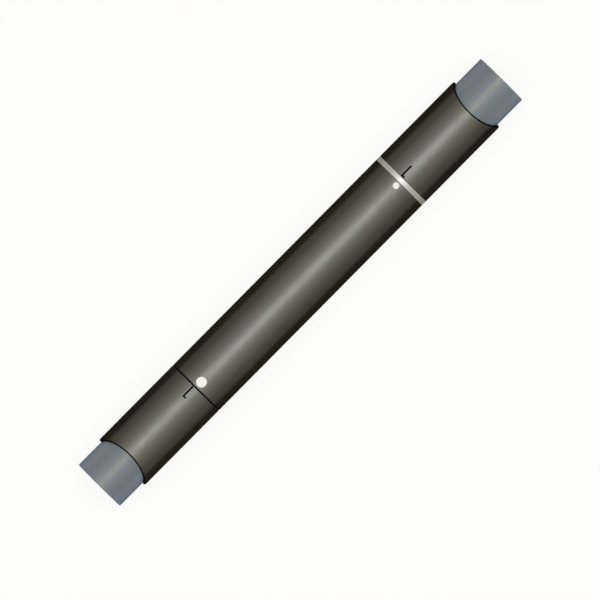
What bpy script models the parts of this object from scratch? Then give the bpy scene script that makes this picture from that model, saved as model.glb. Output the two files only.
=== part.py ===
"""A double-ended felt tip marker: a round barrel with a capped nib at each end.

The marker lies along X, broad end at -X and fine end at +X, with its underside on Z = 0.
The pieces of each end are modelled in that end's own frame. Its origin is on the marker's
axis in the plane that the cap's rim closes on, and its +X axis points out of the barrel,
the way the cap pulls off. Parent empties carry the frames, and the broad end's frame is
turned round to face -X.
"""

import math
from collections import namedtuple

import bmesh
import bpy
from mathutils import Vector

MM = 0.001

# Facets round every turned piece, shared so that pieces which fit together have parallel facets
SIDES = 48

# Fits: radial clearance of a pressed piece and of a sliding one, and gaps along the axis
PRESS_GAP = 0.08 * MM
SLIDE_GAP = 0.08 * MM
SEAT_GAP = 0.1 * MM
RIM_GAP = 0.3 * MM

# Barrel and the pale ring that marks its fine end
BARREL_LENGTH = 75.8 * MM
BARREL_DIAMETER = 17.0 * MM
BARREL_WALL = 1.6 * MM
RING_WIDTH = 1.4 * MM
EDGE_BREAK = 0.15 * MM

# Nib holders: pressed into the barrel, with a neck that the cap slides on
PRESS_LENGTH = 10.0 * MM
SHOULDER_STEP = 0.25 * MM
NECK_LENGTH = 9.5 * MM
SOCKET_WALL = 0.85 * MM
WEB_THICKNESS = 1.5 * MM
LAND_LENGTH = 5.5 * MM
BEAD_COUNT = 2
BEAD_HEIGHT = 0.15 * MM
BEAD_WIDTH = 1.2 * MM
BEAD_START = 3.0 * MM
BEAD_SPACING = 3.2 * MM
KEY_WIDTH = 1.6 * MM
KEY_BITE = 0.3 * MM
KEY_SETBACK = 0.6 * MM
BROAD_NOSE_LENGTH = 3.5 * MM
BROAD_NOSE_STEP = 1.04 * MM
FINE_NOSE_LENGTH = 8.5 * MM
FINE_NOSE_WALL = 0.8 * MM

# Nibs and the ink core that feeds them
BROAD_NIB_WIDTH = 6.4 * MM
BROAD_NIB_THICKNESS = 3.6 * MM
BROAD_NIB_REACH = 8.5 * MM
BROAD_NIB_EDGE = 0.35 * MM
CHISEL_ANGLE = math.radians(30)
FINE_NIB_DIAMETER = 2.2 * MM
FINE_NIB_REACH = 3.0 * MM
FINE_NIB_POINT = 2.2 * MM
NIB_BITE = 6.0 * MM
NIB_TAIL = 2.5 * MM
WRAP_THICKNESS = 0.3 * MM

# Caps: shell, sealing liner and end plug
CAP_LENGTH = 27.6 * MM
SCOOP_DEPTH = 3.2 * MM
HORN_RADIUS = 5.0 * MM
HORN_CHAMFER = 0.4 * MM
HORN_CHAMFER_LENGTH = 0.6 * MM
NECK_CLEARANCE = 1.7 * MM
LINER_LEDGE = 0.35 * MM
LINER_FLANGE = 0.9 * MM
LINER_WALL = 0.55 * MM
LINER_CORNER = 1.0 * MM
LINER_AIR = 1.2 * MM
PLUG_WALL = 1.2 * MM
PLUG_EDGE = 0.25 * MM
BROAD_PLUG_PROUD = 8.4 * MM
FINE_PLUG_PROUD = 9.2 * MM

# Index mark engraved on each cap, in line with the barrel's mark at that end
INDEX_LENGTH = 3.5 * MM
INDEX_FOOT = 1.1 * MM
INDEX_STROKE = 0.5 * MM
INDEX_DEPTH = 0.3 * MM
INDEX_OFFSET = 0.8 * MM
INDEX_SETBACK = 0.2 * MM

# How far a cutter runs past the surface it cuts, and how finely curves are divided
OVERCUT = 1.0 * MM
BLANK_SPARE = 0.15 * MM
HORN_STEPS = 8
POINT_STEPS = 6
WELD = 0.001 * MM
SMOOTH_ANGLE = math.radians(30)

# Radii from the outside in: each follows from the piece it fits
barrel_radius = BARREL_DIAMETER / 2
bore_radius = barrel_radius - BARREL_WALL
press_radius = bore_radius - PRESS_GAP
neck_radius = bore_radius + SHOULDER_STEP
bead_radius = neck_radius + BEAD_HEIGHT
mouth_radius = bead_radius + SLIDE_GAP
key_radius = mouth_radius + KEY_BITE
seat_radius = mouth_radius + LINER_LEDGE
plug_radius = seat_radius - PRESS_GAP
plug_bore_radius = plug_radius - PLUG_WALL
liner_radius = plug_bore_radius - PRESS_GAP
liner_bore_radius = liner_radius - LINER_WALL
land_radius = liner_bore_radius - SLIDE_GAP
socket_radius = press_radius - SOCKET_WALL
wrap_radius = socket_radius - PRESS_GAP
core_radius = wrap_radius - WRAP_THICKNESS - PRESS_GAP
fine_nib_radius = FINE_NIB_DIAMETER / 2
broad_nose_radius = land_radius - BROAD_NOSE_STEP
fine_nose_radius = fine_nib_radius + FINE_NOSE_WALL
shell_wall = barrel_radius - seat_radius
horn_chamfer = min(HORN_CHAMFER, shell_wall / 2)

# Distances along an end's own axis
socket_end = NECK_LENGTH - WEB_THICKNESS
land_end = NECK_LENGTH + LAND_LENGTH
nib_tail = socket_end - NIB_BITE
mouth_depth = NECK_LENGTH + NECK_CLEARANCE
flange_start = mouth_depth + SEAT_GAP
flange_end = flange_start + LINER_FLANGE
skirt_start = flange_end + SEAT_GAP
core_end = socket_end - SEAT_GAP

# Distances along the marker
overall_length = BROAD_PLUG_PROUD + FINE_PLUG_PROUD + 2 * CAP_LENGTH + BARREL_LENGTH + RING_WIDTH
broad_rim_x = -overall_length / 2 + BROAD_PLUG_PROUD + CAP_LENGTH
fine_rim_x = broad_rim_x + BARREL_LENGTH + RING_WIDTH
rest_height = barrel_radius * math.cos(math.pi / SIDES)

# What differs between the two ends: ring_width is the width of ring between barrel and cap
End = namedtuple("End", "name rim_x facing ring_width plug_proud nose_length nose_radius")
BROAD = End("broad", broad_rim_x, math.pi, 0.0, BROAD_PLUG_PROUD, BROAD_NOSE_LENGTH, broad_nose_radius)
FINE = End("fine", fine_rim_x, 0.0, RING_WIDTH, FINE_PLUG_PROUD, FINE_NOSE_LENGTH, fine_nose_radius)


def clear_scene():
    for thing in list(bpy.data.objects):
        bpy.data.objects.remove(thing, do_unlink=True)


def linear(red, green, blue):
    """A colour given in the usual 0 to 255 display values, as the shader takes it."""
    def channel(value):
        share = value / 255
        return share / 12.92 if share <= 0.04045 else ((share + 0.055) / 1.055) ** 2.4
    return channel(red), channel(green), channel(blue), 1.0


def material(name, colour, roughness, metallic=0.0):
    made = bpy.data.materials.new(name)
    made.use_nodes = True
    shader = made.node_tree.nodes["Principled BSDF"]
    shader.inputs["Base Color"].default_value = colour
    shader.inputs["Roughness"].default_value = roughness
    shader.inputs["Metallic"].default_value = metallic
    made.diffuse_color = colour
    return made


def empty(name, parent=None, x=0.0, z=0.0, facing=0.0):
    frame = bpy.data.objects.new(name, None)
    bpy.context.scene.collection.objects.link(frame)
    frame.parent = parent
    frame.location = (x, 0.0, z)
    frame.rotation_euler = (0.0, 0.0, facing)
    return frame


def piece(name, shape, parent, finish=None):
    """An object made from a bmesh, shaded smooth between its sharp edges."""
    mesh = bpy.data.meshes.new(name)
    shape.to_mesh(mesh)
    shape.free()
    mesh.shade_smooth()
    mesh.set_sharp_from_angle(angle=SMOOTH_ANGLE)
    if finish:
        mesh.materials.append(finish)
    made = bpy.data.objects.new(name, mesh)
    bpy.context.scene.collection.objects.link(made)
    made.parent = parent
    return made


def cutter(name, shape, parent):
    tool = piece(name, shape, parent)
    tool.hide_render = True
    tool.display_type = "WIRE"
    return tool


def boolean(target, tool, operation):
    step = target.modifiers.new(tool.name, "BOOLEAN")
    step.operation = operation
    step.solver = "EXACT"
    step.object = tool


def turned(profile):
    """(along, radius) points turned about X: open if it starts and ends on the axis, else a loop."""
    shape = bmesh.new()
    half_facet = math.pi / SIDES
    across, up = math.sin(half_facet), math.cos(half_facet)
    verts = [shape.verts.new((along, radius * across, radius * up)) for along, radius in profile]
    edges = [shape.edges.new(pair) for pair in zip(verts, verts[1:])]
    if profile[0][1] > 0.0:
        edges.append(shape.edges.new((verts[-1], verts[0])))
    bmesh.ops.spin(shape, geom=verts + edges, cent=(0, 0, 0), axis=(1, 0, 0),
                   angle=2 * math.pi, steps=SIDES, use_merge=True)
    bmesh.ops.remove_doubles(shape, verts=shape.verts, dist=WELD)
    bmesh.ops.recalc_face_normals(shape, faces=shape.faces)
    return shape


def prism(outline, start, depth):
    """A flat outline of points, extruded from its own plane moved by start along the depth vector."""
    shape = bmesh.new()
    face = shape.faces.new([shape.verts.new(Vector(point) + Vector(start)) for point in outline])
    pushed = bmesh.ops.extrude_face_region(shape, geom=[face])["geom"]
    moved = [part for part in pushed if isinstance(part, bmesh.types.BMVert)]
    bmesh.ops.translate(shape, vec=depth, verts=moved)
    bmesh.ops.recalc_face_normals(shape, faces=shape.faces)
    return shape


def block(low, high):
    """A box between two corners."""
    outline = [(low[0], low[1], 0), (high[0], low[1], 0), (high[0], high[1], 0), (low[0], high[1], 0)]
    return prism(outline, (0, 0, low[2]), (0, 0, high[2] - low[2]))


def tube(start, end, outer, inner):
    """A tube whose outer edges are broken by a small chamfer."""
    return turned([(start, inner), (start, outer - EDGE_BREAK), (start + EDGE_BREAK, outer),
                   (end - EDGE_BREAK, outer), (end, outer - EDGE_BREAK), (end, inner)])


def make_barrel(parent, finish):
    return piece("barrel", tube(broad_rim_x, broad_rim_x + BARREL_LENGTH, barrel_radius, bore_radius),
                 parent, finish)


def make_ring(parent, finish):
    start = -RING_WIDTH + SEAT_GAP
    return piece("ident_ring", tube(start, 0.0, barrel_radius, neck_radius + PRESS_GAP), parent, finish)


def make_core(parent, finish, passages):
    start, end = broad_rim_x - core_end, fine_rim_x + core_end
    core = piece("ink_core", turned([(start, 0), (start, core_radius), (end, core_radius), (end, 0)]),
                 parent, finish)
    for passage in passages:
        boolean(core, passage, "DIFFERENCE")
    return core


def make_core_wrap(parent, finish):
    start, end = broad_rim_x - core_end, fine_rim_x + core_end
    inner = wrap_radius - WRAP_THICKNESS
    profile = [(start, inner), (start, wrap_radius), (end, wrap_radius), (end, inner)]
    return piece("core_wrap", turned(profile), parent, finish)


def bead_points():
    """The neck's friction beads, from the outermost to the innermost."""
    points = []
    for number in reversed(range(BEAD_COUNT)):
        middle = BEAD_START + number * BEAD_SPACING
        points += [(middle + BEAD_WIDTH / 2, neck_radius), (middle + BEAD_WIDTH / 4, bead_radius),
                   (middle - BEAD_WIDTH / 4, bead_radius), (middle - BEAD_WIDTH / 2, neck_radius)]
    return points


def make_holder(end, parent, finish, passage):
    """Socket for the ink core, shoulder on the barrel, keyed neck, sealing land and tapered nose."""
    seat = SEAT_GAP - end.ring_width
    back = -end.ring_width - PRESS_LENGTH
    nose_end = land_end + end.nose_length
    profile = [(nose_end, 0), (nose_end, end.nose_radius), (land_end, land_radius),
               (NECK_LENGTH, land_radius), (NECK_LENGTH, neck_radius)]
    profile += bead_points()
    profile += [(seat, neck_radius), (seat, press_radius), (back, press_radius),
                (back, socket_radius), (socket_end, socket_radius), (socket_end, 0)]
    holder = piece(end.name + "_nib_holder", turned(profile), parent, finish)
    key_root = (neck_radius + socket_radius) / 2
    key = block((KEY_SETBACK, -KEY_WIDTH / 2, key_root),
                (NECK_LENGTH - KEY_SETBACK, KEY_WIDTH / 2, key_radius))
    boolean(holder, cutter(end.name + "_key", key, parent), "UNION")
    boolean(holder, passage, "DIFFERENCE")
    return holder


def make_broad_nib(parent, finish):
    """A flat felt bar with a wedge tail in the core and a slanted chisel edge."""
    half = BROAD_NIB_WIDTH / 2
    tip = land_end + BROAD_NOSE_LENGTH + BROAD_NIB_REACH
    slant = BROAD_NIB_WIDTH * math.tan(CHISEL_ANGLE)
    outline = [(nib_tail, -half / 2, 0), (nib_tail + NIB_TAIL, -half, 0), (tip - slant, -half, 0),
               (tip, half, 0), (nib_tail + NIB_TAIL, half, 0), (nib_tail, half / 2, 0)]
    nib = piece("broad_nib", prism(outline, (0, 0, -BROAD_NIB_THICKNESS / 2), (0, 0, BROAD_NIB_THICKNESS)),
                parent, finish)
    rounding = nib.modifiers.new("edges", "BEVEL")
    rounding.width = BROAD_NIB_EDGE
    rounding.segments = 2
    return nib


def make_fine_nib(parent, finish):
    """A round fibre rod with a bullet point, its tail tapered to enter the core."""
    tip = land_end + FINE_NOSE_LENGTH + FINE_NIB_REACH
    profile = [(nib_tail, 0), (nib_tail, fine_nib_radius / 2), (nib_tail + NIB_TAIL, fine_nib_radius)]
    for step in range(POINT_STEPS):
        turn = math.pi / 2 * step / POINT_STEPS
        profile.append((tip - FINE_NIB_POINT * (1 - math.sin(turn)), fine_nib_radius * math.cos(turn)))
    profile.append((tip, 0))
    return piece("fine_nib", turned(profile), parent, finish)


def broad_passage(parent):
    """The slot that the broad nib passes through, in its holder and in the end of the core."""
    half_width = BROAD_NIB_WIDTH / 2 + PRESS_GAP
    half_thickness = BROAD_NIB_THICKNESS / 2 + PRESS_GAP
    low = (nib_tail - SEAT_GAP, -half_width, -half_thickness)
    high = (land_end + BROAD_NOSE_LENGTH + OVERCUT, half_width, half_thickness)
    return cutter("broad_nib_passage", block(low, high), parent)


def fine_passage(parent):
    """The round hole that the fine nib passes through, in its holder and in the end of the core."""
    start = nib_tail - SEAT_GAP
    end = land_end + FINE_NOSE_LENGTH + OVERCUT
    radius = fine_nib_radius + PRESS_GAP
    return cutter("fine_nib_passage", turned([(start, 0), (start, radius), (end, radius), (end, 0)]), parent)


def scoop_shape():
    """All that lies beyond two slanted planes across the cap's end, so that its rim dips above and below.

    An arc joins the planes at half height, where the rim's two horns are.
    """
    fall = SCOOP_DEPTH - HORN_RADIUS
    slant = math.atan2(fall, barrel_radius) + math.asin(HORN_RADIUS / math.hypot(fall, barrel_radius))
    reach = barrel_radius + OVERCUT
    far_x = CAP_LENGTH - SCOOP_DEPTH - OVERCUT * math.tan(slant)
    outline = [(far_x, 0, -reach)]
    for step in range(HORN_STEPS + 1):
        turn = slant * (2 * step / HORN_STEPS - 1)
        outline.append((CAP_LENGTH - HORN_RADIUS * (1 - math.cos(turn)), 0, HORN_RADIUS * math.sin(turn)))
    outline += [(far_x, 0, reach), (CAP_LENGTH + OVERCUT, 0, reach), (CAP_LENGTH + OVERCUT, 0, -reach)]
    return prism(outline, (0, -reach, 0), (0, 2 * reach, 0))


def index_shape(low_x):
    """A stroke along X with a short foot at its low end, to be cut into the top of a cap."""
    near, far = INDEX_OFFSET - INDEX_STROKE / 2, INDEX_OFFSET + INDEX_STROKE / 2
    outline = [(low_x, far - INDEX_FOOT, 0), (low_x + INDEX_STROKE, far - INDEX_FOOT, 0),
               (low_x + INDEX_STROKE, near, 0), (low_x + INDEX_LENGTH, near, 0),
               (low_x + INDEX_LENGTH, far, 0), (low_x, far, 0)]
    return prism(outline, (0, 0, barrel_radius - INDEX_DEPTH), (0, 0, INDEX_DEPTH + OVERCUT))


def make_cap_shell(end, parent, finish, marker, index_low_x):
    """A sleeve with the barrel's outside, a ledge inside for the liner and a scooped outer end."""
    blank_end = CAP_LENGTH + BLANK_SPARE
    tip_drop = horn_chamfer * (1 + BLANK_SPARE / HORN_CHAMFER_LENGTH)
    profile = [(RIM_GAP, mouth_radius + EDGE_BREAK), (RIM_GAP, barrel_radius - EDGE_BREAK),
               (RIM_GAP + EDGE_BREAK, barrel_radius), (CAP_LENGTH - HORN_CHAMFER_LENGTH, barrel_radius),
               (blank_end, barrel_radius - tip_drop), (blank_end, seat_radius),
               (mouth_depth, seat_radius), (mouth_depth, mouth_radius), (RIM_GAP + EDGE_BREAK, mouth_radius)]
    shell = piece(end.name + "_cap_shell", turned(profile), parent, finish)
    half_keyway = KEY_WIDTH / 2 + SLIDE_GAP
    keyway = block((-OVERCUT, -half_keyway, mouth_radius - OVERCUT),
                   (NECK_LENGTH, half_keyway, key_radius + SLIDE_GAP))
    boolean(shell, cutter(end.name + "_scoop", scoop_shape(), parent), "DIFFERENCE")
    boolean(shell, cutter(end.name + "_keyway", keyway, parent), "DIFFERENCE")
    boolean(shell, cutter(end.name + "_index", index_shape(index_low_x), marker), "DIFFERENCE")
    return shell


def make_cap_liner(end, parent, finish):
    """A thin cup that seals on the holder's land, its flange held between ledge and plug."""
    outside = CAP_LENGTH + end.plug_proud - PLUG_WALL - LINER_AIR
    inside = outside - LINER_WALL
    flange_radius = seat_radius - PRESS_GAP
    profile = [(inside, 0), (inside, liner_bore_radius - LINER_CORNER),
               (inside - LINER_CORNER, liner_bore_radius), (flange_start, liner_bore_radius),
               (flange_start, flange_radius), (flange_end, flange_radius), (flange_end, liner_radius),
               (outside - LINER_CORNER, liner_radius), (outside, liner_radius - LINER_CORNER), (outside, 0)]
    return piece(end.name + "_cap_liner", turned(profile), parent, finish)


def make_end_plug(end, parent, finish):
    """A closed cup pressed into the shell behind the liner, standing proud of the scooped end."""
    outside = CAP_LENGTH + end.plug_proud
    inside = outside - PLUG_WALL
    profile = [(inside, 0), (inside, plug_bore_radius), (skirt_start, plug_bore_radius),
               (skirt_start, plug_radius), (outside - PLUG_EDGE, plug_radius),
               (outside, plug_radius - PLUG_EDGE), (outside, 0)]
    return piece(end.name + "_end_plug", turned(profile), parent, finish)


def build():
    clear_scene()
    dark = material("dark_plastic", linear(66, 62, 53), 0.42)
    black = material("holder_plastic", linear(38, 37, 36), 0.4)
    white = material("ring_plastic", linear(228, 228, 220), 0.4)
    slate = material("plug_plastic", linear(114, 120, 129), 0.45)
    clear = material("liner_plastic", linear(222, 222, 214), 0.5)
    felt = material("nib_felt", linear(150, 153, 158), 0.9)
    fibre = material("core_fibre", linear(120, 124, 130), 0.95)
    film = material("wrap_film", linear(235, 235, 230), 0.35)

    marker = empty("marker", z=rest_height)
    frames = {end: empty(end.name + "_end", marker, end.rim_x, facing=end.facing) for end in (BROAD, FINE)}
    caps = {end: empty(end.name + "_cap", frames[end]) for end in (BROAD, FINE)}
    passages = {BROAD: broad_passage(frames[BROAD]), FINE: fine_passage(frames[FINE])}
    index_inset = RIM_GAP + INDEX_SETBACK
    index_lows = {BROAD: BROAD.rim_x - index_inset - INDEX_LENGTH, FINE: FINE.rim_x + index_inset}

    make_barrel(marker, dark)
    make_ring(frames[FINE], white)
    make_core(marker, fibre, passages.values())
    make_core_wrap(marker, film)
    make_broad_nib(frames[BROAD], felt)
    make_fine_nib(frames[FINE], felt)
    for end in (BROAD, FINE):
        make_holder(end, frames[end], black, passages[end])
        make_cap_shell(end, caps[end], dark, marker, index_lows[end])
        make_cap_liner(end, caps[end], clear)
        make_end_plug(end, caps[end], slate)


build()
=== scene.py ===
"""The looks of a double-ended felt tip marker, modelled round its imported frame.

Everything is in metres in the frame's own axes: the marker lies along X, broad end at -X.
Distances "along" an end run outwards from the plane where the cap's rim closes on the barrel,
and a turn angle of 0 points up, with positive angles towards +Y.
"""

import math

import bmesh
import bpy
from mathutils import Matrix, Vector, noise


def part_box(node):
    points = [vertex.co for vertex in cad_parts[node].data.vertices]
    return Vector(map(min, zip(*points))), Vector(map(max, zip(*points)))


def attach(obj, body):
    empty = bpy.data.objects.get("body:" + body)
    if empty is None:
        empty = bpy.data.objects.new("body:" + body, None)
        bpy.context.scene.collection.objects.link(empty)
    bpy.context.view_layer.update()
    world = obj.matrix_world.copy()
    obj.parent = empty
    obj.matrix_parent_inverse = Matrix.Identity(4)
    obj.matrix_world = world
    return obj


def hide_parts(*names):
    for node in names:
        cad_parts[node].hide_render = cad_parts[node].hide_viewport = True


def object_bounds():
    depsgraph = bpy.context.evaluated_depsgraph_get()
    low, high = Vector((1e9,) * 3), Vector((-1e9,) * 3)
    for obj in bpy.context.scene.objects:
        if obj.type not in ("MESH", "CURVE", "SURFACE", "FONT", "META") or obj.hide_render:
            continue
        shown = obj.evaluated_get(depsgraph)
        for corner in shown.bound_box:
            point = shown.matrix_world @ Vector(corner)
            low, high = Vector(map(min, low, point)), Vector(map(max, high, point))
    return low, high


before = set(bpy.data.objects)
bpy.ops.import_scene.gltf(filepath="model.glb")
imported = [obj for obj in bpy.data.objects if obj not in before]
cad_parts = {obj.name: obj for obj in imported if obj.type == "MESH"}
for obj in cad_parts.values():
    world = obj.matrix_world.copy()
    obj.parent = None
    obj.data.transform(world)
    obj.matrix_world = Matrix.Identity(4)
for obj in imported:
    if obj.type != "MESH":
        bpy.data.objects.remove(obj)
cad_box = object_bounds()

MM = 0.001

# Sizes of the solids that the frame's boxes don't give: barrel, holders, nibs and caps
BARREL_WALL = 1.6 * MM
FIT_GAP = 0.08 * MM
SEAT_GAP = 0.1 * MM
PRESS_RADIUS = 6.82 * MM
SOCKET_RADIUS = 5.97 * MM
SOCKET_END = 8.0 * MM
NECK_RADIUS = 7.15 * MM
NECK_LENGTH = 9.5 * MM
BEADS = (3.0 * MM, 6.2 * MM)
BEAD_RADIUS = 7.3 * MM
BEAD_WIDTH = 1.2 * MM
KEY_RADIUS = 7.68 * MM
KEY_WIDTH = 1.6 * MM
KEY_SPAN = (0.6 * MM, 8.9 * MM)
LAND_RADIUS = 5.74 * MM
LAND_END = 15.0 * MM
NOSE_LENGTHS = {"broad": 3.5 * MM, "fine": 8.5 * MM}
NOSE_RADII = {"broad": 4.7 * MM, "fine": 1.9 * MM}
NIB_TAIL = 2.5 * MM
CHISEL_ANGLE = math.radians(30)
FINE_POINT = 2.2 * MM
CAP_LENGTH = 27.6 * MM
MOUTH_RADIUS = 7.38 * MM
MOUTH_DEPTH = 11.2 * MM
SEAT_RADIUS = 7.73 * MM
SCOOP_DEPTH = 3.2 * MM
HORN_RADIUS = 5.0 * MM
LINER_RADIUS = 6.37 * MM
LINER_WALL = 0.55 * MM
LINER_FLANGE = 0.9 * MM
PLUG_WALL = 1.2 * MM

# Where a cap closes: the gap that is left, and the groove on the barrel, which is painted with shade so that
# it shows as a dark line
SEAM = 0.02 * MM
GROOVE_WIDTH = 0.36 * MM
GROOVE_DEPTH = 0.06 * MM

# Key and keyway: how far their flanks and ends slope. The keyway stops short of its full depth,
# so that no two rows of points fall together
KEY_SLOPE = 0.1 * MM
KEY_RAMP = 0.15 * MM
KEY_RAMP_ROWS = 4
KEYWAY_RADIUS = 7.72 * MM
KEYWAY_SHARE = 0.98

# A cap's scooped rim: its edges, how much softer they are at the horns, and the share of painted shade on its
# face
RIM_EDGE = 0.13 * MM
RIM_INNER_EDGE = 0.05 * MM
HORN_EASE = 3.2
HORN_EASE_POWER = 24
RIM_SHADE = 0.85

# Marks on the outside: the caps' engraved index strokes, whose hollows are painted dark as shade, and the
# barrel's printed dots. The visible tube is slimmer than the solid by INK, so that the dots stay inside the
# solid's box
INDEX_LENGTH = 3.75 * MM
INDEX_FOOT = 1.1 * MM
INDEX_STROKE = 0.5 * MM
INDEX_DEPTH = 0.3 * MM
INDEX_OFFSET = 0.8 * MM
INDEX_SETBACK = 0.19 * MM
INDEX_WALL = 0.1 * MM
BROAD_DOT_DIAMETER = 2.8 * MM
BROAD_DOT_INSET = 2.18 * MM
FINE_DOT_DIAMETER = 1.7 * MM
FINE_DOT_INSET = 1.2 * MM
DOT_EDGE = 0.85
INK = 0.02 * MM
INK_RISE = 0.9 * INK

# Felt: the broad nib's rounding, and how much and how closely its and the fine nib's surfaces waver.
# The seed makes that come out the same each run
FELT_SEED = 7
CHISEL_CORNER = 0.4 * MM
CHISEL_SOFTNESS = 0.45 * MM
CHISEL_SLOT_CORNER = 0.45 * MM
SLANT_LENGTH = 9 * MM
TAIL_WIDTH = 0.5
TAIL_THICKNESS = 0.7
POINT_FULLNESS = 0.9
CHISEL_WAVER = (0.012 * MM, 0.35 * MM)
FINE_WAVER = (0.006 * MM, 0.25 * MM)

# Fineness of the meshes: steps round the axis, steps of length, steps of arcs and rows along a nib.
# Then the distance of the rows beside an arc, how near counts as touching, how far a cutter
# overshoots, and the angle from which an edge is shaded sharp
TURN_STEPS = 160
LINER_TURN_STEPS = 96
NIB_TURN_STEPS = 48
DOT_TURN_STEPS = 64
DOT_RINGS = 8
FINE_STEP = 0.05 * MM
HORN_STEP = 0.15 * MM
ARC_STEPS = 5
CORNER_STEPS = 8
TAIL_ROWS = 3
CHISEL_ROWS = 40
SOFT_ROWS = 4
FINE_NIB_ROWS = 30
POINT_ROWS = 12
SUPPORT = 0.12 * MM
TOUCH = 0.01 * MM
OVERCUT = 1 * MM
SHARP_ANGLE = math.radians(40)

# How far the fine steps reach: to each side of the key, the index mark and a horn's tip, and past
# the index mark's end
KEY_REACH = 1.0 * MM
INDEX_REACH = 1.6 * MM
HORN_REACH = 2.4 * MM
INDEX_MARGIN = 0.4 * MM

# Light: the lamp, the dome's brightness at the top, the angle in which it falls to about a third,
# its colours at the top and sides, and the heights between which a white horizon ends
LAMP_POWER = 0.68
LAMP_SIZE = (0.68, 0.24)
LAMP_HEIGHT = 0.6
DOME_TOP = 2.15
DOME_FALL = math.radians(41)
DOME_CROWN = (1.0, 1.0, 1.0, 1.0)
DOME_SIDE = (1.0, 0.9, 0.74, 1.0)
HORIZON = (0.06, 0.1)

# Floor: half its width, the squares along it, and how much of it shows as plain white
FLOOR_REACH = 30.0
FLOOR_SQUARES = 8
FLOOR_WHITE = 0.88

# The photograph: its frame, the marker's middle in it and the marker's tilt
PHOTO_PX = 600
PX_PER_MM = 3.811
MIDDLE_PX = (300.4, 282.3)
TILT = math.radians(45.28)
LENS_MM = 1000.0
SENSOR_MM = 36.0

barrel_low, barrel_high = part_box("barrel")
ring_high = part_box("ident_ring")[1]
axis_z = (barrel_low.z + barrel_high.z) / 2
body_radius = (barrel_high.y - barrel_low.y) / 2 - INK
RIMS = {"broad": barrel_low.x, "fine": ring_high.x}
FACINGS = {"broad": -1.0, "fine": 1.0}


def smoothstep(low, high, value):
    """0 below low, 1 above high, and a soft rise between them."""
    share = min(max((value - low) / (high - low), 0.0), 1.0)
    return share * share * (3 - 2 * share)


def rounded(corners, closed=True):
    """(along, radius, fillet) corners as profile rows (along, radius, edge), with each fillet an arc.

    edge is 1 on an arc and 0 elsewhere. A row is added just before and after each arc, so that
    the shading of a long straight stretch stays flat up to its edge.
    """
    rows = []
    count = len(corners)
    for number, (along, radius, fillet) in enumerate(corners):
        if fillet <= 0.0 or (not closed and number in (0, count - 1)):
            rows.append((along, radius, 0.0))
            continue
        here = Vector((along, radius))
        before = Vector(corners[number - 1][:2]) - here
        after = Vector(corners[(number + 1) % count][:2]) - here
        to_before, to_after = before.normalized(), after.normalized()
        half = before.angle(after) / 2
        reach = fillet / math.tan(half)
        start, end = here + to_before * reach, here + to_after * reach
        centre = here + (to_before + to_after).normalized() * (fillet / math.sin(half))
        if before.length > reach + SUPPORT:
            rows.append((*(start + to_before * SUPPORT), 0.0))
        for step in range(ARC_STEPS + 1):
            spoke = (start - centre).slerp(end - centre, step / ARC_STEPS)
            rows.append((*(centre + spoke * fillet), 1.0))
        if after.length > reach + SUPPORT:
            rows.append((*(end + to_after * SUPPORT), 0.0))
    return rows


def rounded_box(half_width, half_height, corner):
    """Points round a rectangle with round corners."""
    points = []
    for quarter in range(4):
        sign_y = 1 if quarter in (0, 3) else -1
        sign_z = 1 if quarter in (0, 1) else -1
        for step in range(CORNER_STEPS + 1):
            turn = math.pi / 2 * (quarter + step / CORNER_STEPS)
            points.append((sign_y * (half_width - corner) + corner * math.cos(turn),
                           sign_z * (half_height - corner) + corner * math.sin(turn)))
    return list(dict.fromkeys((round(y, 9), round(z, 9)) for y, z in points))


def even_angles(steps=TURN_STEPS):
    """Turn angles spread evenly."""
    return [2 * math.pi * step / steps for step in range(steps)]


def dense_angles(places, radius):
    """Turn angles that are close together at some places and even elsewhere.

    places holds (middle, half_width, step) in order of middle: an angle and two lengths on the outside.
    """
    angles = []
    for number, (middle, half_width, step) in enumerate(places):
        half = half_width / radius
        count = math.ceil(2 * half_width / step)
        angles += [middle - half + 2 * half * k / count for k in range(count + 1)]
        following = places[(number + 1) % len(places)]
        gap = (following[0] - following[1] / radius - middle - half) % (2 * math.pi)
        steps = math.ceil(gap / (2 * math.pi / TURN_STEPS))
        angles += [middle + half + gap * k / steps for k in range(1, steps)]
    return angles


def bridge(shape, first, second):
    """Faces between two rings of points. A ring of one point is a pole."""
    count = max(len(first), len(second))
    for k in range(count):
        n = (k + 1) % count
        corners = [first[k % len(first)], first[n % len(first)],
                   second[n % len(second)], second[k % len(second)]]
        shape.faces.new(list(dict.fromkeys(corners)))


def revolve(rows, angles, origin_x=0.0, facing=1.0, reshape=None, closed=True):
    """Rows turned about the marker's axis. An open set of rows is closed by a pole at each end.

    reshape may move a point: it takes its along, radius and angle, and gives its along and radius.
    """
    shape = bmesh.new()
    edge_layer = shape.verts.layers.float.new("edge")
    rings = []
    for along, radius, edge in rows:
        ring = []
        for angle in angles if radius > 0.0 else (0.0,):
            x, r = reshape(along, radius, angle) if reshape else (along, radius)
            vert = shape.verts.new((origin_x + facing * x, r * math.sin(angle), axis_z + r * math.cos(angle)))
            vert[edge_layer] = edge
            ring.append(vert)
        rings.append(ring)
    for first, second in zip(rings, rings[1:]):
        bridge(shape, first, second)
    if closed:
        bridge(shape, rings[-1], rings[0])
    return shape


def to_mesh(name, shape):
    """A mesh from a bmesh, which is freed."""
    mesh = bpy.data.meshes.new(name)
    shape.to_mesh(mesh)
    shape.free()
    return mesh


def add_object(name, data):
    """A new object in the scene."""
    made = bpy.data.objects.new(name, data)
    bpy.context.scene.collection.objects.link(made)
    return made


def new_piece(name, shape, material, body, node=None):
    """An object from a bmesh, riding on a body and standing for a node, shaded smooth."""
    bmesh.ops.recalc_face_normals(shape, faces=shape.faces)
    mesh = to_mesh(name, shape)
    mesh.shade_smooth()
    mesh.set_sharp_from_angle(angle=SHARP_ANGLE)
    mesh.materials.append(material)
    made = add_object(name, mesh)
    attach(made, body)
    if node:
        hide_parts(node)
    return made


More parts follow.
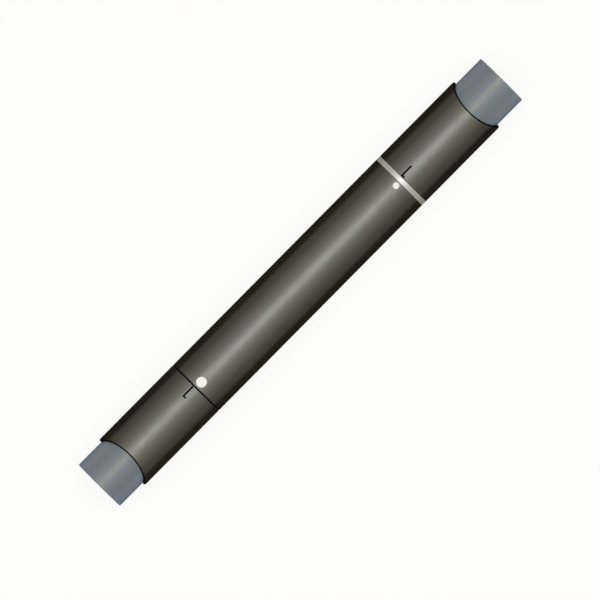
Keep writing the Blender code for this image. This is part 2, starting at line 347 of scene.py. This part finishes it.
def span(end, low, high):
    """Where a box starts and stops along an end."""
    return sorted(FACINGS[end] * (x - RIMS[end]) for x in (low.x, high.x))


def off_axis(place):
    """How far a point lies from the marker's axis."""
    return math.hypot(place.y, place.z - axis_z)


def make_barrel(material):
    """The barrel's tube, with a shallow groove where the broad cap closes on it, painted with shade as a dark
    line.
    """
    low, high = barrel_low.x, barrel_high.x
    bore = barrel_high.z - axis_z - BARREL_WALL
    groove_end, groove_floor = low + GROOVE_WIDTH, body_radius - GROOVE_DEPTH
    bore_edge, outer_edge = 0.1 * MM, 0.05 * MM
    rows = rounded([(low, bore, bore_edge), (low, groove_floor, 0.0), (groove_end, groove_floor, 0.0),
                    (groove_end, body_radius, outer_edge), (high, body_radius, outer_edge),
                    (high, bore, bore_edge)])
    shape = revolve(rows, even_angles())
    # Painted shade: the groove's floor and walls are coloured near black, as a shadow line
    painted_shade_layer = shape.verts.layers.float.new("cut")
    for vert in shape.verts:
        if vert.co.x < groove_end + TOUCH and off_axis(vert.co) > groove_floor - TOUCH:
            vert[painted_shade_layer] = 1.0
    new_piece("barrel_tube", shape, material, "barrel", "barrel")


def make_ring(material):
    """The narrow ring between the barrel and the fine cap."""
    low, high = barrel_high.x + SEAM, ring_high.x
    bore = NECK_RADIUS + FIT_GAP
    barrel_edge, cap_edge, bore_edge = 0.08 * MM, 0.1 * MM, 0.08 * MM
    rows = rounded([(low, bore, 0.0), (low, body_radius, barrel_edge),
                    (high, body_radius, cap_edge), (high, bore, bore_edge)])
    shape = revolve(rows, even_angles())
    new_piece("pale_ring", shape, material, "barrel", "ident_ring")


def make_dot(name, x, diameter, material):
    """A printed dot: a thin closed pad of ink that follows the barrel's round."""
    shape = bmesh.new()

    def layer(height):
        """Rings of points from the middle out. The upper side thins out at the dot's edge."""
        made = [[shape.verts.new((x, 0.0, axis_z + body_radius + height))]]
        for ring in range(1, DOT_RINGS + 1):
            share = ring / DOT_RINGS
            reach = diameter / 2 * share
            thick = height * (1 - smoothstep(DOT_EDGE, 1.0, share)) if height > 0 else height
            row = []
            for turn in even_angles(DOT_TURN_STEPS):
                around = reach * math.sin(turn) / body_radius
                row.append(shape.verts.new((x + reach * math.cos(turn),
                                            (body_radius + thick) * math.sin(around),
                                            axis_z + (body_radius + thick) * math.cos(around))))
            made.append(row)
        return made

    top, under = layer(INK_RISE), layer(-INK)
    for sheet in (top, under):
        for first, second in zip(sheet, sheet[1:]):
            bridge(shape, first, second)
    bridge(shape, top[-1], under[-1])
    new_piece(name, shape, material, "barrel")


def index_depth(x, y, low_x):
    """How deep the engraved index mark is at a place on a cap: a stroke along X with a foot."""
    def outside(centre_x, centre_y, half_x, half_y):
        """How far the place lies outside a rectangle. It is below 0 inside."""
        over_x, over_y = abs(x - centre_x) - half_x, abs(y - centre_y) - half_y
        if max(over_x, over_y) <= 0.0:
            return max(over_x, over_y)
        return math.hypot(max(over_x, 0.0), max(over_y, 0.0))

    half = INDEX_STROKE / 2
    stroke = outside(low_x + INDEX_LENGTH / 2, INDEX_OFFSET, INDEX_LENGTH / 2, half)
    foot = outside(low_x + half, INDEX_OFFSET + half - INDEX_FOOT / 2, half, INDEX_FOOT / 2)
    return INDEX_DEPTH * (1 - smoothstep(-INDEX_WALL, 0.0, min(stroke, foot)))


def scoop_drop(height):
    """How far a cap's rim lies back at a height off the axis.

    Two slanted planes make the scoop, and an arc joins them at the horns.
    """
    fall = SCOOP_DEPTH - HORN_RADIUS
    slant = math.atan2(fall, body_radius) + math.asin(HORN_RADIUS / math.hypot(fall, body_radius))
    height = abs(height)
    if height < HORN_RADIUS * math.sin(slant):
        return HORN_RADIUS - math.sqrt(HORN_RADIUS ** 2 - height ** 2)
    return HORN_RADIUS * (1 - 1 / math.cos(slant)) + height * math.tan(slant)


def scooped(along, radius, angle):
    """A point of a cap's outer end, moved back by the scoop and eased at the horns."""
    ease = 1 + HORN_EASE * abs(math.sin(angle)) ** HORN_EASE_POWER
    back, down = CAP_LENGTH - along, body_radius - radius
    face_end = body_radius - SEAT_RADIUS - RIM_INNER_EDGE
    if down <= RIM_EDGE:
        back, down = back * ease, down * ease
    elif down < face_end:
        share = (down - RIM_EDGE) / (face_end - RIM_EDGE)
        down = RIM_EDGE * ease * (1 - share) + face_end * share
    radius = body_radius - down
    return CAP_LENGTH - back - scoop_drop(radius * math.cos(angle)), radius


def make_cap_shell(end, material):
    """A cap's sleeve, with its scooped outer end, its keyway and its engraved index mark, with painted shade
    on the rim's face and in the mark.
    """
    rim, facing = RIMS[end], FACINGS[end]
    inset = SEAM + INDEX_SETBACK
    index_x = rim + inset if end == "fine" else rim - inset - INDEX_LENGTH
    mouth_edge, lip_edge = 0.2 * MM, 0.14 * MM

    def reshape(along, radius, angle):
        if along > MOUTH_DEPTH + TOUCH:
            return scooped(along, radius, angle)
        across = radius * math.sin(angle)
        if radius > body_radius - TOUCH:
            radius -= index_depth(rim + facing * along, across, index_x)
        elif radius < KEYWAY_RADIUS and math.cos(angle) > 0:
            flank = KEY_WIDTH / 2 + FIT_GAP
            keyway = 1 - smoothstep(flank, flank + KEY_SLOPE, abs(across))
            radius += (KEYWAY_RADIUS - radius) * keyway * KEYWAY_SHARE
        return along, radius

    rows = rounded([(SEAM, MOUTH_RADIUS, mouth_edge), (SEAM, body_radius, lip_edge),
                    (CAP_LENGTH, body_radius, RIM_EDGE), (CAP_LENGTH, SEAT_RADIUS, RIM_INNER_EDGE),
                    (MOUTH_DEPTH, SEAT_RADIUS, 0.0), (MOUTH_DEPTH, MOUTH_RADIUS, 0.0)])
    fine_end = inset + INDEX_LENGTH + INDEX_MARGIN
    past_lip = next(n for n, row in enumerate(rows) if row[0] > fine_end)
    start = rows[past_lip - 1][0]
    steps = math.ceil((fine_end - start) / FINE_STEP)
    rows[past_lip:past_lip] = [(start + (fine_end - start) * step / steps, body_radius, 0.0)
                               for step in range(1, steps + 1)]
    places = [(0.0, INDEX_REACH, FINE_STEP)]
    places += [(side * math.pi / 2, HORN_REACH, HORN_STEP) for side in (1, 3)]
    shape = revolve(rows, dense_angles(places, body_radius), rim, facing, reshape)
    painted_shade_layer = shape.verts.layers.float.new("cut")
    for vert in shape.verts:
        along, height = facing * (vert.co.x - rim), off_axis(vert.co)
        on_face = SEAT_RADIUS + TOUCH < height < body_radius - TOUCH
        # Painted shade on the scooped rim's face
        if on_face and along > CAP_LENGTH - SCOOP_DEPTH - RIM_EDGE:
            vert[painted_shade_layer] = RIM_SHADE
        # Painted shade in the engraved index mark, darker the deeper it is cut
        elif vert.co.z > axis_z + SEAT_RADIUS + TOUCH:
            across = body_radius * vert.co.y / height
            vert[painted_shade_layer] = index_depth(vert.co.x, across, index_x) / INDEX_DEPTH
    new_piece(end + "_cap_sleeve", shape, material, end + "_cap", end + "_cap_shell")


def make_end_plug(end, material):
    """The hollow plug that stands out of a cap's end."""
    low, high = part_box(end + "_end_plug")
    root, tip = span(end, low, high)
    radius = (high.y - low.y) / 2
    inner, floor = radius - PLUG_WALL, tip - PLUG_WALL
    floor_edge, root_edge, tip_edge = 0.3 * MM, 0.15 * MM, 0.22 * MM
    rows = rounded([(floor, 0.0, 0.0), (floor, inner, floor_edge), (root, inner, 0.0),
                    (root, radius, root_edge), (tip, radius, tip_edge), (tip, 0.0, 0.0)], closed=False)
    shape = revolve(rows, even_angles(), RIMS[end], FACINGS[end], closed=False)
    new_piece(end + "_colour_plug", shape, material, end + "_cap", end + "_end_plug")


def make_cap_liner(end, material):
    """The cup in a cap that seals its nib."""
    low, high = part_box(end + "_cap_liner")
    mouth, tip = span(end, low, high)
    flange, flange_end = (high.y - low.y) / 2, mouth + LINER_FLANGE
    bore, floor = LINER_RADIUS - LINER_WALL, tip - LINER_WALL
    floor_edge, mouth_edge, flange_edge, tip_edge = 0.9 * MM, 0.25 * MM, 0.12 * MM, 1.2 * MM
    rows = rounded([(floor, 0.0, 0.0), (floor, bore, floor_edge), (mouth, bore, mouth_edge),
                    (mouth, flange, flange_edge), (flange_end, flange, flange_edge),
                    (flange_end, LINER_RADIUS, 0.0), (tip, LINER_RADIUS, tip_edge),
                    (tip, 0.0, 0.0)], closed=False)
    shape = revolve(rows, even_angles(LINER_TURN_STEPS), RIMS[end], FACINGS[end], closed=False)
    new_piece(end + "_seal_cup", shape, material, end + "_cap", end + "_cap_liner")


def nib_slot(end):
    """The cutter for a holder's nib passage, from its socket out through its nose."""
    rim, facing = RIMS[end], FACINGS[end]
    start, stop = SOCKET_END - OVERCUT, LAND_END + NOSE_LENGTHS[end] + OVERCUT
    low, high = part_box(end + "_nib")
    half_width = (high.y - low.y) / 2 + FIT_GAP
    half_thick = (high.z - low.z) / 2 + FIT_GAP
    corner = half_width if end == "fine" else CHISEL_SLOT_CORNER
    outline = rounded_box(half_width, half_thick, corner)
    shape = bmesh.new()
    near = [shape.verts.new((rim + facing * start, y, axis_z + z)) for y, z in outline]
    far = [shape.verts.new((rim + facing * stop, y, axis_z + z)) for y, z in outline]
    shape.faces.new(near)
    shape.faces.new(far)
    bridge(shape, near, far)
    bmesh.ops.recalc_face_normals(shape, faces=shape.faces)
    return add_object(end + "_slot", to_mesh(end + "_slot", shape))


def key_rise(along, radius, angle):
    """A point of a holder, raised where the key runs along the neck's top."""
    if radius > NECK_RADIUS - TOUCH and along > 0.0 and math.cos(angle) > 0:
        across = abs(math.remainder(angle, 2 * math.pi)) * NECK_RADIUS
        rise = 1 - smoothstep(KEY_WIDTH / 2 - KEY_SLOPE, KEY_WIDTH / 2, across)
        rise *= smoothstep(KEY_SPAN[0], KEY_SPAN[0] + KEY_RAMP, along)
        rise *= 1 - smoothstep(KEY_SPAN[1] - KEY_RAMP, KEY_SPAN[1], along)
        radius += (KEY_RADIUS - radius) * rise
    return along, radius


def make_holder(end, material):
    """The moulding that holds a nib: press part, shoulder, beaded and keyed neck, land and nose."""
    low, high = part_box(end + "_nib_holder")
    back = span(end, low, high)[0]
    barrel_end = 0.0 if end == "broad" else barrel_high.x - RIMS[end]
    seat = barrel_end + SEAT_GAP
    nose_end = LAND_END + NOSE_LENGTHS[end]
    nose_edge, land_edge, step_edge, neck_edge = 0.35 * MM, 0.8 * MM, 0.35 * MM, 0.3 * MM
    bead_edge, seat_edge, press_edge, socket_edge = 0.3 * MM, 0.05 * MM, 0.3 * MM, 0.2 * MM
    corners = [(nose_end, 0.0, 0.0), (nose_end, NOSE_RADII[end], nose_edge),
               (LAND_END, LAND_RADIUS, land_edge), (NECK_LENGTH, LAND_RADIUS, step_edge),
               (NECK_LENGTH, NECK_RADIUS, neck_edge)]
    for middle in reversed(BEADS):
        corners += [(middle + BEAD_WIDTH / 2, NECK_RADIUS, bead_edge),
                    (middle + BEAD_WIDTH / 4, BEAD_RADIUS, bead_edge),
                    (middle - BEAD_WIDTH / 4, BEAD_RADIUS, bead_edge),
                    (middle - BEAD_WIDTH / 2, NECK_RADIUS, bead_edge)]
    corners += [(seat, NECK_RADIUS, seat_edge), (seat, PRESS_RADIUS, 0.0),
                (back, PRESS_RADIUS, press_edge), (back, SOCKET_RADIUS, socket_edge),
                (SOCKET_END, SOCKET_RADIUS, 0.0), (SOCKET_END, 0.0, 0.0)]
    rows = rounded(corners, closed=False)
    on_neck = [n for n, row in enumerate(rows) if row[1] >= NECK_RADIUS - TOUCH]
    first, last = on_neck[0], on_neck[-1]
    neck = rows[first:last + 1]
    for step in range(KEY_RAMP_ROWS):
        neck.append((KEY_SPAN[0] + step * FINE_STEP, NECK_RADIUS, 0.0))
        neck.append((KEY_SPAN[1] - step * FINE_STEP, NECK_RADIUS, 0.0))
    neck.sort(key=lambda row: -row[0])
    rows[first:last + 1] = neck
    angles = dense_angles([(0.0, KEY_REACH, FINE_STEP)], NECK_RADIUS)
    shape = revolve(rows, angles, RIMS[end], FACINGS[end], key_rise, closed=False)
    made = new_piece(end + "_section", shape, material, "barrel", end + "_nib_holder")
    cutter = nib_slot(end)
    cut = made.modifiers.new("nib_slot", "BOOLEAN")
    cut.object = cutter
    cut.solver = "EXACT"
    bpy.context.view_layer.update()
    evaluated = made.evaluated_get(bpy.context.evaluated_depsgraph_get())
    mesh = bpy.data.meshes.new_from_object(evaluated)
    made.modifiers.clear()
    made.data = mesh
    bpy.data.objects.remove(cutter, do_unlink=True)


def felt_shift(point, amount, size):
    """A small steady shift for felt, whose surface is never quite even."""
    return noise.noise_vector(Vector(point) / size) * amount


def make_broad_nib(material):
    """A pressed felt bar with round edges, a wedge tail and a slanted writing edge."""
    low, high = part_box("broad_nib")
    rim, facing = RIMS["broad"], FACINGS["broad"]
    tail, tip = span("broad", low, high)
    half_width, half_thick = (high.y - low.y) / 2, (high.z - low.z) / 2
    least_corner = 0.1 * MM
    shape = bmesh.new()
    rings = []

    def ring(along, width, thick, inset, slant):
        """Adds a section. width and thick are shares of the bar's, and slant of the edge's slope."""
        corner = max(CHISEL_CORNER - inset / 2, least_corner)
        made = []
        for y, z in rounded_box(half_width * width - inset, half_thick * thick - inset, corner):
            back = slant * (half_width + y) * math.tan(CHISEL_ANGLE)
            place = Vector((rim + facing * (along - back), y, axis_z + z))
            place += felt_shift(place, *CHISEL_WAVER)
            made.append(shape.verts.new(place))
        rings.append(made)

    begin, soft = tail + NIB_TAIL, tip - CHISEL_SOFTNESS
    for step in range(TAIL_ROWS + 1):
        grown = step / TAIL_ROWS
        ring(tail + NIB_TAIL * grown, TAIL_WIDTH + (1 - TAIL_WIDTH) * grown,
             TAIL_THICKNESS + (1 - TAIL_THICKNESS) * grown, 0.0, 0.0)
    for step in range(1, CHISEL_ROWS + 1):
        along = begin + (soft - begin) * step / CHISEL_ROWS
        ring(along, 1.0, 1.0, 0.0, smoothstep(tip - SLANT_LENGTH, soft, along))
    for step in range(1, SOFT_ROWS + 1):
        turn = math.pi / 2 * step / SOFT_ROWS
        ring(soft + CHISEL_SOFTNESS * math.sin(turn), 1.0, 1.0, CHISEL_SOFTNESS * (1 - math.cos(turn)), 1.0)
    for first, second in zip(rings, rings[1:]):
        bridge(shape, first, second)
    shape.faces.new(rings[0])
    shape.faces.new(rings[-1])
    new_piece("chisel_nib", shape, material, "barrel", "broad_nib")


def make_fine_nib(material):
    """A fibre rod with a bullet point."""
    low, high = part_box("fine_nib")
    tail, tip = span("fine", low, high)
    radius = (high.y - low.y) / 2
    begin, shoulder = tail + NIB_TAIL, tip - FINE_POINT
    rows = [(tail, 0.0, 0.0), (tail, radius * TAIL_WIDTH, 0.0), (begin, radius, 0.0)]
    for step in range(1, FINE_NIB_ROWS):
        rows.append((begin + (shoulder - begin) * step / FINE_NIB_ROWS, radius, 0.0))
    for step in range(POINT_ROWS):
        turn = math.pi / 2 * step / POINT_ROWS
        rows.append((shoulder + FINE_POINT * math.sin(turn), radius * math.cos(turn) ** POINT_FULLNESS, 0.0))
    rows.append((tip, 0.0, 0.0))
    shape = revolve(rows, even_angles(NIB_TURN_STEPS), RIMS["fine"], FACINGS["fine"], closed=False)
    for vert in shape.verts:
        vert.co += felt_shift(vert.co, *FINE_WAVER)
    new_piece("bullet_nib", shape, material, "barrel", "fine_nib")


def linear(red, green, blue):
    """A colour given in display values of 0 to 255, as the shader takes it."""
    def channel(value):
        share = value / 255
        return share / 12.92 if share <= 0.04045 else ((share + 0.055) / 1.055) ** 2.4
    return channel(red), channel(green), channel(blue), 1.0


class Nodes:
    """A node tree, with short calls for the nodes used here. Values may be sockets or constants."""

    def __init__(self, tree):
        self.tree = tree

    def add(self, kind):
        """A new node. kind is its type without the ShaderNode in front."""
        return self.tree.nodes.new("ShaderNode" + kind)

    def feed(self, socket, value):
        """Links an input to the socket that feeds it, or gives it a constant."""
        if isinstance(value, bpy.types.NodeSocket):
            self.tree.links.new(value, socket)
        else:
            socket.default_value = value

    def ramp(self, source, low, high, start=0.3, end=0.7, way="LINEAR"):
        """Source between start and end taken to a value between low and high."""
        made = self.add("MapRange")
        made.interpolation_type = way
        for name, value in (("Value", source), ("From Min", start), ("From Max", end),
                            ("To Min", low), ("To Max", high)):
            self.feed(made.inputs[name], value)
        return made.outputs["Result"]

    def mix(self, share, first, second):
        """The colour at share between first and second."""
        made = self.add("Mix")
        made.data_type = "RGBA"
        inputs = {socket.identifier: socket for socket in made.inputs}
        for name, value in (("Factor_Float", share), ("A_Color", first), ("B_Color", second)):
            self.feed(inputs[name], value)
        return next(socket for socket in made.outputs if socket.identifier == "Result_Color")

    def maths(self, operation, first, second=0.0):
        """One step of arithmetic."""
        made = self.add("Math")
        made.operation = operation
        for socket, value in zip(made.inputs, (first, second)):
            self.feed(socket, value)
        return made.outputs["Value"]


class Finish(Nodes):
    """A material's node tree, built round its Principled shader."""

    def __init__(self, name):
        self.material = bpy.data.materials.new(name)
        self.material.use_nodes = True
        super().__init__(self.material.node_tree)
        self.shader = self.tree.nodes["Principled BSDF"]
        self.place = self.add("TexCoord").outputs["Object"]

    def give(self, name, value):
        """Sets one of the shader's inputs."""
        self.feed(self.shader.inputs[name], value)

    def noise(self, size, detail=2.0, stretch=(1, 1, 1), roughness=0.5):
        """Noise whose blotches are about size metres across, stretched along each axis."""
        mapping = self.add("Mapping")
        mapping.inputs["Scale"].default_value = tuple(1 / (size * way) for way in stretch)
        self.feed(mapping.inputs["Vector"], self.place)
        made = self.add("TexNoise")
        for name, value in (("Vector", mapping.outputs["Vector"]), ("Scale", 1.0),
                            ("Detail", detail), ("Roughness", roughness)):
            self.feed(made.inputs[name], value)
        return made.outputs["Fac"]

    def attribute(self, name):
        """A value that the mesh carries at its points."""
        made = self.add("Attribute")
        made.attribute_name = name
        return made.outputs["Fac"]

    def bump(self, height, strength, distance, below=None):
        """A normal bent by a height, on top of another bump where one is given."""
        made = self.add("Bump")
        for name, value in (("Height", height), ("Strength", strength), ("Distance", distance)):
            self.feed(made.inputs[name], value)
        if below:
            self.feed(made.inputs["Normal"], below)
        return made.outputs["Normal"]

    def fading(self, level, start, end):
        """level where a surface faces the view or the light overhead, falling to 0 on its flanks.

        start and end are the sines of the surface's turn between which it falls. At a blend of
        one half, the Layer Weight's Facing is 1 less the cosine of the turn from the view.
        """
        weight = self.add("LayerWeight")
        weight.inputs["Blend"].default_value = 0.5
        facing = weight.outputs["Facing"]
        from_view = self.maths("MULTIPLY", facing, self.maths("SUBTRACT", 2.0, facing))
        from_view = self.maths("SQRT", from_view)
        split = self.add("SeparateXYZ")
        self.feed(split.inputs["Vector"], self.add("NewGeometry").outputs["Normal"])
        upward = self.maths("MAXIMUM", split.outputs["Z"], 0.0)
        from_top = self.maths("SUBTRACT", 1.0, self.maths("MULTIPLY", upward, upward))
        from_top = self.maths("SQRT", from_top)
        turn = self.maths("MINIMUM", from_view, from_top)
        return self.ramp(turn, level, 0.0, start, end, "SMOOTHSTEP")

    def glow_when_seen(self, share):
        """Mixes white light into the surface for the camera and in mirror views, not on the object."""
        path = self.add("LightPath")
        seen = self.maths("MAXIMUM", path.outputs["Is Camera Ray"], path.outputs["Is Glossy Ray"])
        seen = self.maths("MAXIMUM", seen, path.outputs["Is Transmission Ray"])
        blend = self.add("MixShader")
        sources = (self.maths("MULTIPLY", seen, share), self.shader.outputs["BSDF"],
                   self.add("Emission").outputs["Emission"])
        for socket, source in zip(blend.inputs, sources):
            self.feed(socket, source)
        self.feed(self.tree.nodes["Material Output"].inputs["Surface"], blend.outputs["Shader"])


def moulded_plastic(name, colour, pale, worn, roughness, index=1.5, fade=None, tint=(1, 1, 1, 1)):
    """Injection-moulded plastic: faint clouding, fine grain, drawn-out handling marks, worn edges, and
    painted shade where the mesh's cut attribute is set.

    fade is (level, start, end) for a gloss that dies away towards the piece's outline.
    """
    finish = Finish(name)
    spread = 0.03
    # Painted shade: where the mesh's cut attribute is set (the barrel's groove, the engraved index marks, the
    # scooped rim's face), the colour goes to near black as if in shadow, and the gloss goes with it
    shadow = linear(9, 8, 7)
    cut = finish.attribute("cut")
    clouds = finish.ramp(finish.noise(size=9 * MM, detail=3.0), low=0.0, high=1.0)
    specks = finish.ramp(finish.noise(size=0.25 * MM), low=0.0, high=0.22, start=0.55, end=0.8)
    scuffs = finish.ramp(finish.noise(size=0.8 * MM, detail=3.0), low=0.0, high=0.7, start=0.42, end=0.62)
    base = finish.mix(clouds, colour, pale)
    base = finish.mix(specks, base, worn)
    base = finish.mix(finish.maths("MULTIPLY", finish.attribute("edge"), scuffs), base, worn)
    finish.give("Base Color", finish.mix(cut, base, shadow))
    if fade:
        unshaded = finish.maths("SUBTRACT", 1.0, cut)
        finish.give("Specular IOR Level", finish.maths("MULTIPLY", unshaded, finish.fading(*fade)))
    finish.give("IOR", index)
    finish.give("Specular Tint", tint)
    streaks = finish.noise(size=0.3 * MM, detail=3.0, stretch=(40, 1, 1))
    smudges = finish.noise(size=5 * MM)
    streak_part = finish.ramp(streaks, low=-spread, high=spread)
    smudge_part = finish.ramp(smudges, low=roughness - spread, high=roughness + spread)
    finish.give("Roughness", finish.maths("ADD", streak_part, smudge_part))
    grain = finish.bump(finish.noise(size=0.12 * MM), strength=0.5, distance=0.006 * MM)
    finish.give("Normal", finish.bump(streaks, strength=0.15, distance=0.004 * MM, below=grain))
    return finish.material


def felt(name, colour, stain, fibre_length):
    """Pressed felt: short fibres along the nib, darker where ink has gathered.

    fibre_length is how many times longer a fibre is than it is thick.
    """
    finish = Finish(name)
    fibres = finish.noise(size=0.07 * MM, detail=4.0, stretch=(fibre_length, 1, 1), roughness=0.65)
    clumps = finish.ramp(finish.noise(size=0.9 * MM, detail=3.0), low=0.0, high=1.0)
    base = finish.mix(finish.ramp(fibres, low=0.0, high=0.85), stain, colour)
    stain_share = 0.35
    finish.give("Base Color", finish.mix(finish.maths("MULTIPLY", clumps, stain_share), base, stain))
    finish.give("Roughness", finish.ramp(clumps, low=0.82, high=0.96, start=0.0, end=1.0))
    finish.give("Sheen Weight", 0.25)
    finish.give("Normal", finish.bump(fibres, strength=0.7, distance=0.05 * MM))
    return finish.material


def print_ink(name, colour, shade):
    """Pad-printed ink: nearly opaque, with pinholes and a slightly uneven skin."""
    finish = Finish(name)
    pits = finish.ramp(finish.noise(size=0.12 * MM, detail=3.0), low=0.0, high=0.5, start=0.62, end=0.8)
    finish.give("Base Color", finish.mix(pits, colour, shade))
    finish.give("Roughness", finish.ramp(finish.noise(size=0.6 * MM), low=0.42, high=0.55))
    finish.give("Normal", finish.bump(finish.noise(size=0.1 * MM), strength=0.25, distance=0.006 * MM))
    return finish.material


def floor_paper():
    """Pale paper with a faint mottle, which shows nearly white and still takes a shadow."""
    finish = Finish("floor_paper")
    mottle = finish.ramp(finish.noise(size=30 * MM, detail=3.0), low=0.0, high=1.0)
    finish.give("Base Color", finish.mix(mottle, linear(246, 246, 245), linear(249, 249, 248)))
    finish.give("Roughness", 0.9)
    finish.give("Specular IOR Level", 0.0)
    finish.glow_when_seen(FLOOR_WHITE)
    return finish.material


def set_material(node, material):
    """Gives a carried-over solid its finish."""
    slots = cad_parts[node].data.materials
    slots.clear()
    slots.append(material)


def make_floor():
    """A wide pale floor under the marker."""
    shape = bmesh.new()
    bmesh.ops.create_grid(shape, x_segments=FLOOR_SQUARES, y_segments=FLOOR_SQUARES, size=FLOOR_REACH)
    floor = add_object("floor", to_mesh("floor", shape))
    floor.data.materials.append(floor_paper())
    floor.location.z = cad_box[0].z


def make_lamp():
    """A soft box straight overhead, long side along the marker."""
    data = bpy.data.lights.new("overhead_box", "AREA")
    data.shape = "RECTANGLE"
    data.size, data.size_y = LAMP_SIZE
    data.energy = LAMP_POWER
    lamp = add_object("overhead_box", data)
    lamp.location.z = LAMP_HEIGHT
    lamp.visible_camera = False


def make_dome():
    """A dome of light that is brightest at the top and dies away to the sides."""
    world = bpy.data.worlds.new("studio")
    world.use_nodes = True
    nodes = Nodes(world.node_tree)
    background = nodes.tree.nodes["Background"]
    split = nodes.add("SeparateXYZ")
    nodes.feed(split.inputs["Vector"], nodes.add("TexCoord").outputs["Generated"])
    height = split.outputs["Z"]
    from_top = nodes.maths("MINIMUM", nodes.maths("MAXIMUM", height, 0.0), 1.0)
    from_top = nodes.maths("ARCCOSINE", from_top)
    level = nodes.maths("EXPONENT", nodes.maths("DIVIDE", from_top, -DOME_FALL))
    level = nodes.maths("MULTIPLY", level, DOME_TOP)
    horizon = nodes.ramp(height, low=1.0, high=0.0, start=HORIZON[0], end=HORIZON[1])
    nodes.feed(background.inputs["Strength"], nodes.maths("MAXIMUM", level, horizon))
    lowness = nodes.maths("DIVIDE", from_top, math.pi / 2)
    nodes.feed(background.inputs["Color"], nodes.mix(lowness, DOME_CROWN, DOME_SIDE))
    bpy.context.scene.world = world


def make_camera():
    """Straight down on the marker, rolled so that it lies across the picture as in the photograph."""
    data = bpy.data.cameras.new("camera")
    data.lens = LENS_MM
    data.sensor_width = SENSOR_MM
    camera = add_object("camera", data)
    px = MM / PX_PER_MM
    right = Vector((math.cos(TILT), -math.sin(TILT), 0))
    up = Vector((math.sin(TILT), math.cos(TILT), 0))
    shift_right = (MIDDLE_PX[0] - PHOTO_PX / 2) * px
    shift_up = (PHOTO_PX / 2 - MIDDLE_PX[1]) * px
    middle = (cad_box[0] + cad_box[1]) / 2
    camera.location = middle - right * shift_right - up * shift_up
    camera.location.z = axis_z + PHOTO_PX * px * LENS_MM / SENSOR_MM
    camera.rotation_euler = (0, 0, -TILT)
    bpy.context.scene.camera = camera


noise.seed_set(FELT_SEED)
make_camera()

dark = moulded_plastic("dark_plastic", colour=linear(36, 32, 23), pale=linear(39, 35, 26),
                       worn=linear(66, 63, 56), roughness=0.34, index=1.68,
                       fade=(1.0, 0.45, 0.835), tint=(0.97, 1.0, 0.9, 1.0))
black = moulded_plastic("holder_plastic", colour=linear(36, 35, 34), pale=linear(40, 39, 38),
                        worn=linear(62, 61, 59), roughness=0.4)
white = moulded_plastic("ring_plastic", colour=linear(150, 150, 143), pale=linear(154, 154, 147),
                        worn=linear(172, 172, 164), roughness=0.36, index=2.45, fade=(1.0, 0.5, 0.85))
slate = moulded_plastic("plug_plastic", colour=linear(104, 115, 131), pale=linear(107, 118, 134),
                        worn=linear(132, 140, 152), roughness=0.32,
                        fade=(0.75, 0.6, 0.98), tint=(1.0, 1.0, 0.65, 1.0))
natural = moulded_plastic("liner_plastic", colour=linear(216, 216, 207), pale=linear(224, 224, 216),
                          worn=linear(235, 235, 230), roughness=0.45)
film = moulded_plastic("wrap_film", colour=linear(232, 232, 226), pale=linear(238, 238, 233),
                       worn=linear(215, 215, 210), roughness=0.3)
chisel_felt = felt("broad_nib_felt", linear(166, 169, 173), linear(112, 117, 125), fibre_length=10)
bullet_felt = felt("fine_nib_felt", linear(160, 163, 168), linear(104, 110, 119), fibre_length=14)
core_fibre = felt("core_fibre", linear(128, 132, 139), linear(92, 98, 108), fibre_length=60)
ink = print_ink("dot_ink", linear(244, 244, 240), linear(214, 213, 208))

make_barrel(dark)
make_ring(white)
make_dot("broad_dot", barrel_low.x + BROAD_DOT_INSET, BROAD_DOT_DIAMETER, ink)
make_dot("fine_dot", barrel_high.x - FINE_DOT_INSET, FINE_DOT_DIAMETER, ink)
make_broad_nib(chisel_felt)
make_fine_nib(bullet_felt)
for end in ("broad", "fine"):
    make_holder(end, black)
    make_cap_shell(end, dark)
    make_cap_liner(end, natural)
    make_end_plug(end, slate)
set_material("ink_core", core_fibre)
set_material("core_wrap", film)

make_floor()
make_lamp()
make_dome()
bpy.context.scene.view_settings.view_transform = "Standard"
